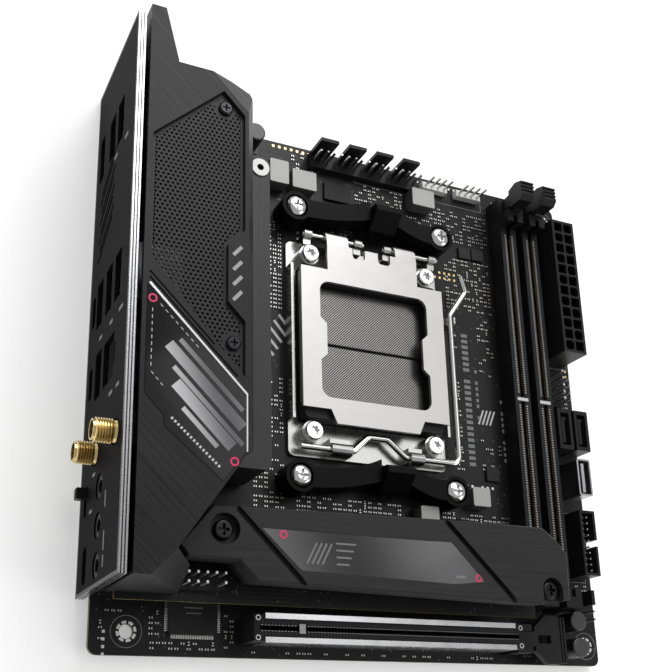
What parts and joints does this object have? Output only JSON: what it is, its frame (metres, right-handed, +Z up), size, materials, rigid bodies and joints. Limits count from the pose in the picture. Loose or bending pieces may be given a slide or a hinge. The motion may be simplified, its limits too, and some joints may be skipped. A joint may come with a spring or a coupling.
{
  "type": "compact computer motherboard",
  "caption": "Square compact motherboard with processor socket, memory slots, shielded card slot, rear port plate, heatsink shroud and cooled storage cover.",
  "frame": {"origin": "underside of the circuit board, midway between the two case-screw holes beside the card slot", "axes": "+Z up out of the component side, +X from the rear ports towards the memory slots, +Y from the card slot towards the memory latches"},
  "size_m": [0.1791, 0.1753, 0.0452],
  "materials": {
    "board": "black solder mask, satin",
    "riser_edge": "black daughterboard",
    "backplate_steel": "plain plated steel",
    "insulator": "black film",
    "rear_plate": "satin black",
    "rear_rim": "bright ribbed edge",
    "port_shell": "stamped port shells",
    "port_plastic": "black",
    "antenna_gold": "gold plated thread",
    "shroud": "fine dark grey coating",
    "grille": "perforated black sheet",
    "gloss": "gloss black insert",
    "black_screw": "blackened screw",
    "steel_screw": "bright steel screw",
    "fan_plastic": "black",
    "heatsink": "dark anodised",
    "washer": "white washer",
    "chip": "moulded package",
    "pad": "soft thermal pad",
    "choke": "pressed alloy core",
    "capacitor": "sleeved can",
    "socket_plastic": "dark liquid-crystal polymer",
    "contacts": "gold contact field",
    "socket_steel": "stamped steel",
    "bracket": "black moulding",
    "slot_black": "black moulding",
    "slot_shield": "folded steel sleeve",
    "chipset_alloy": "plain alloy",
    "brass_post": "turned post",
    "cover": "fine dark grey coating",
    "base": "dark anodised",
    "connector": "black moulding",
    "white_plastic": "white moulding",
    "pins": "plated pins"
  },
  "bodies": {
    "board": {"main_board": "board", "backplate": "backplate_steel", "backplate_insulator": "insulator", "io_plate": "rear_plate", "io_rim": "rear_rim", "display_usb_stack": "port_shell", "usb_stack": "port_shell", "lan_usb_stack": "port_shell", "antenna_jacks": "antenna_gold", "antenna_base": "port_plastic", "audio_jacks": "port_plastic", "rear_usb_c": "port_shell", "switch_base": "port_plastic", "io_shroud": "shroud", "vrm_grille": "grille", "grille_screws": "black_screw", "shroud_gloss_panel": "gloss", "panel_trim": "rear_rim", "fan_frame": "fan_plastic", "vrm_heatsink": "heatsink", "heatsink_washer": "washer", "power_stages": "chip", "thermal_pad": "pad", "chokes": "choke", "capacitors": "capacitor", "socket_body": "socket_plastic", "contact_field": "contacts", "socket_frame": "socket_steel", "socket_screws": "steel_screw", "hinge_wires": "steel_screw", "cooler_bracket_bottom": "bracket", "cooler_bracket_top": "bracket", "bracket_screws": "steel_screw", "dimm_slot_a": "slot_black", "dimm_slot_b": "slot_black", "expansion_slot": "slot_black", "slot_shield": "slot_shield", "riser_board": "riser_edge", "board_sockets": "connector", "chipset": "chip", "chipset_heatsink": "chipset_alloy", "standoffs": "brass_post", "m2_base": "base", "m2_cover": "cover", "cover_gloss_strip": "gloss", "cover_screws": "steel_screw", "atx_power_socket": "connector", "cpu_power_socket": "connector", "sata_ports": "connector", "front_usb_c": "port_shell", "header_bases": "connector", "contact_pins": "pins", "led_headers": "white_plastic", "controller_chips": "chip"},
    "lever": {"load_lever": "steel_screw"},
    "load_frame": {"load_plate": "socket_steel"},
    "memory_latch_a": {"dimm_latch_a": "slot_black"},
    "memory_latch_b": {"dimm_latch_b": "slot_black"},
    "card_latch": {"slot_latch": "slot_black"},
    "switch_knob": {"switch_slider": "port_plastic"},
    "rotor": {"fan_rotor": "fan_plastic"}
  },
  "joints": [
    {"name": "lever_lift", "type": "hinge", "parent": "board", "child": "lever", "pos_m": [-0.00153, 0.05645, 0.0062], "axis": [1, 0, 0], "range_deg": [0, 110]},
    {"name": "load_frame_lift", "type": "hinge", "parent": "board", "child": "load_frame", "pos_m": [-0.00153, 0.12805, 0.007], "axis": [-1, 0, 0], "range_deg": [0, 105]},
    {"name": "memory_latch_a_tilt", "type": "hinge", "parent": "board", "child": "memory_latch_a", "pos_m": [0.05517, 0.15465, 0.0052], "axis": [-1, 0, 0], "range_deg": [0, 30]},
    {"name": "memory_latch_b_tilt", "type": "hinge", "parent": "board", "child": "memory_latch_b", "pos_m": [0.06457, 0.15465, 0.0052], "axis": [-1, 0, 0], "range_deg": [0, 30]},
    {"name": "card_latch_press", "type": "hinge", "parent": "board", "child": "card_latch", "pos_m": [0.04767, 0.00095, 0.0072], "axis": [0, 1, 0], "range_deg": [0, 12], "stiffness_Nm_per_rad": 0.001, "springref_deg": -8.59},
    {"name": "switch_slide", "type": "slide", "parent": "board", "child": "switch_knob", "axis": [0, -1, 0], "range_m": [0, 0.004]},
    {"name": "rotor_spin", "type": "hinge", "parent": "board", "child": "rotor", "pos_m": [-0.07183, 0.11965, 0.0346], "axis": [0, 0, 1], "continuous": true}
  ]
}
